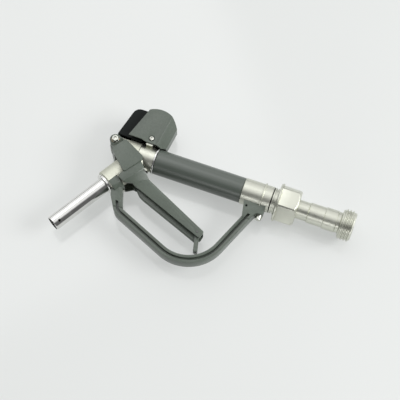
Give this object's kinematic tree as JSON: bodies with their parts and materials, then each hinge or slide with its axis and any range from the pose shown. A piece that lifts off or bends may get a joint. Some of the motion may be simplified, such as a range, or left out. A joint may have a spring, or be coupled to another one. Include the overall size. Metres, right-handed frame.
{
  "type": "liquid filling nozzle",
  "caption": "Hand-held liquid filling nozzle: polished straight spout at an angle to a sleeved grip, trigger lever under a guard, hood over the valve, swivelling threaded inlet.",
  "frame": {"origin": "centre of the inlet thread's end face, where the hose is screwed on", "axes": "+X along the grip axis and out of the inlet towards the hose, +Y away from the trigger (up when the nozzle is held), +Z across the nozzle towards its left side; the spout and the trigger lie in the XY plane"},
  "size_m": [0.4037, 0.212, 0.055],
  "materials": {
    "polished_steel": "polished stainless steel",
    "brushed_steel": "fine turned stainless steel",
    "cast_steel": "bead-blasted and polished stainless casting",
    "grey_paint": "dark grey satin powder coat",
    "black_shield": "matte black paint",
    "grip_rubber": "charcoal moulded sleeve, satin",
    "seal_rubber": "matte",
    "bronze": "plain bearing bronze",
    "yellow_zinc": "yellow passivated zinc on steel"
  },
  "bodies": {
    "nozzle": {"spout_tube": "polished_steel", "spout_ring": "polished_steel", "spout_seal": "seal_rubber", "spout_elbow": "cast_steel", "valve_body": "brushed_steel", "gland_nut": "brushed_steel", "stem_packing": "seal_rubber", "seat_ring": "brushed_steel", "valve_cap": "brushed_steel", "cap_seal": "seal_rubber", "valve_spring": "polished_steel", "grip_tube": "brushed_steel", "grip_sleeve": "grip_rubber", "grip_front_ring": "polished_steel", "rear_collar": "brushed_steel", "pivot_bolt": "polished_steel", "pivot_nut": "polished_steel", "hood_shell": "grey_paint", "hood_screws": "polished_steel", "inner_shield": "black_shield", "shield_screws": "yellow_zinc", "guard_bow": "grey_paint", "guard_front_screw": "polished_steel", "guard_rear_screw": "polished_steel"},
    "trigger": {"trigger_lever": "grey_paint", "pivot_bushes": "bronze", "push_pin": "polished_steel", "latch_pin": "polished_steel"},
    "valve": {"valve_stem": "polished_steel", "poppet_disc": "brushed_steel", "poppet_seal": "seal_rubber"},
    "latch": {"latch_clip": "grey_paint"},
    "swivel": {"swivel_body": "brushed_steel", "swivel_balls": "polished_steel", "swivel_seals": "seal_rubber", "union_nut": "brushed_steel", "union_seal": "seal_rubber", "inlet_adapter": "brushed_steel"}
  },
  "joints": [
    {"name": "trigger_pull", "type": "hinge", "parent": "nozzle", "child": "trigger", "pos_m": [-0.3571, 0.0074, 0], "axis": [0, 0, 1], "range_deg": [0, 8], "stiffness_Nm_per_rad": 9.6, "springref_deg": -11.46},
    {"name": "stem_lift", "type": "slide", "parent": "nozzle", "child": "valve", "axis": [0, 1, 0], "range_m": [0, 0.0076], "deforming": ["valve_spring"]},
    {"name": "latch_swing", "type": "hinge", "parent": "trigger", "child": "latch", "pos_m": [-0.20084, -0.08336, 0], "axis": [0, 0, 1], "range_deg": [-60, 10]},
    {"name": "inlet_swivel", "type": "hinge", "parent": "nozzle", "child": "swivel", "pos_m": [0, 0, 0], "axis": [1, 0, 0], "continuous": true}
  ],
  "couplings": [
    {"joint": "stem_lift", "follows": "trigger_pull", "m_per_rad": 0.0536}
  ]
}
